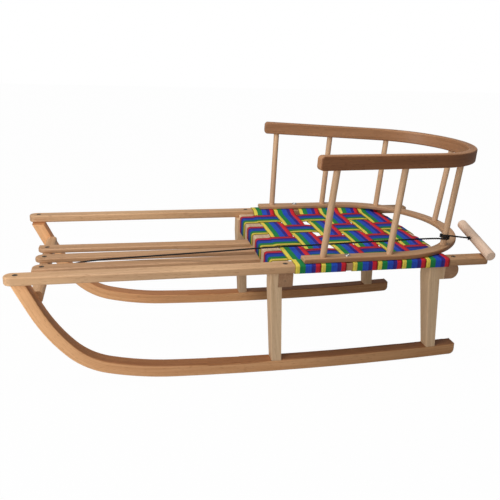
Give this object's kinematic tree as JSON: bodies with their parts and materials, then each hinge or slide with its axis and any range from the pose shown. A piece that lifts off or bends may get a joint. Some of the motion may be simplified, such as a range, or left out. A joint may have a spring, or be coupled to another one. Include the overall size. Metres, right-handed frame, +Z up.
{
  "type": "wooden sled",
  "caption": "Bentwood pull sled with a rainbow webbing seat, a spindle backrest and a cord with a wooden handle.",
  "frame": {"origin": "on the floor under the middle of the sled's bounding box, without the cord and its handle", "axes": "+X towards the curled front, +Y towards the sled's left, +Z up"},
  "size_m": [0.9051, 0.41, 0.4194],
  "materials": {
    "bent_ash": "oiled, side grain along the bend",
    "deck_wood": "oiled, planed",
    "trestle_wood": "planed, untreated",
    "hoop_wood": "steam bent, oiled",
    "spindle_wood": "turned, oiled",
    "handle_wood": "turned, untreated",
    "webbing": "woven tape in yellow, green, blue and red stripes",
    "cord": "black braided cord"
  },
  "bodies": {
    "root": {"backrest_lower_hoop": "hoop_wood", "backrest_upper_hoop": "hoop_wood", "cord_knot": "cord", "cord_tie": "cord", "cord_wrap": "cord", "front_crossbar": "deck_wood", "leg_front_left": "trestle_wood", "leg_front_right": "trestle_wood", "leg_rear_left": "trestle_wood", "leg_rear_right": "trestle_wood", "pull_cord": "cord", "pull_cord_tail": "cord", "pull_handle": "handle_wood", "rail_left": "deck_wood", "rail_right": "deck_wood", "runner_left": "bent_ash", "runner_right": "bent_ash", "slat_1": "deck_wood", "slat_2": "deck_wood", "slat_3": "deck_wood", "spindle_1": "spindle_wood", "spindle_2": "spindle_wood", "spindle_3": "spindle_wood", "spindle_4": "spindle_wood", "spindle_5": "spindle_wood", "spindle_6": "spindle_wood", "spindle_7": "spindle_wood", "trestle_crossbar_front": "trestle_wood", "trestle_crossbar_rear": "trestle_wood", "webbing_across": "webbing", "webbing_across_ends": "webbing", "webbing_along": "webbing", "webbing_along_ends": "webbing"}
  },
  "joints": []
}
